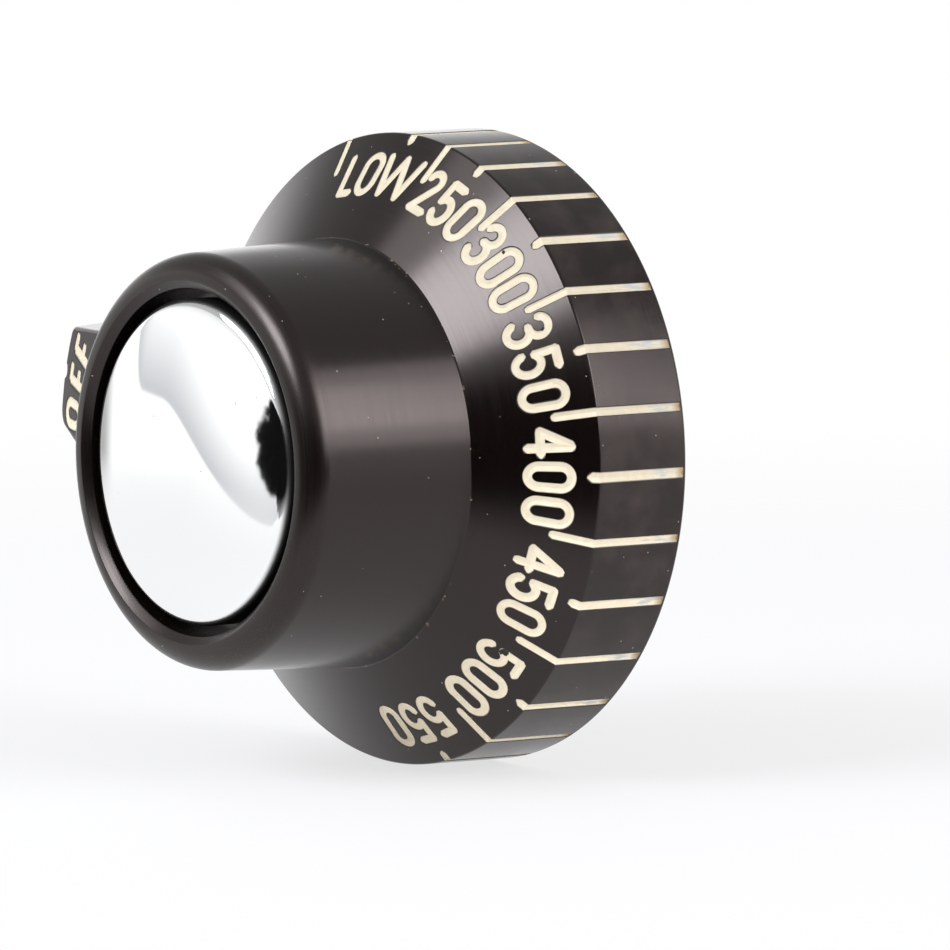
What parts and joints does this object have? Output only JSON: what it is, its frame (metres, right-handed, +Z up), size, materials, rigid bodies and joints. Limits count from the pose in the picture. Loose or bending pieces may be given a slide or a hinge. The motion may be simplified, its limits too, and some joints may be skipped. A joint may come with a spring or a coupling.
{
  "type": "oven temperature control knob",
  "caption": "Round dark moulded oven knob with a conical engraved dial, a tapered hub with a domed chrome cap, a raised off lug and a hollow back with a D-shaped stem socket.",
  "frame": {"origin": "on the knob's axis, in the plane of the skirt's rear edge, where the stem enters", "axes": "-Y out of the knob's front, +Y towards the panel along the stem, +X to the right of someone facing the knob, +Z up, with the knob turned as it stands in the picture"},
  "size_m": [0.057, 0.0337, 0.057],
  "materials": {
    "phenolic": "moulded and polished",
    "chrome": "bright plated",
    "spring_steel": "rolled strip",
    "scale_paint": "cream paint wiped into the engraving"
  },
  "bodies": {
    "root": {"knob_body": "phenolic", "chrome_cap": "chrome", "shaft_spring": "spring_steel"}
  },
  "joints": []
}
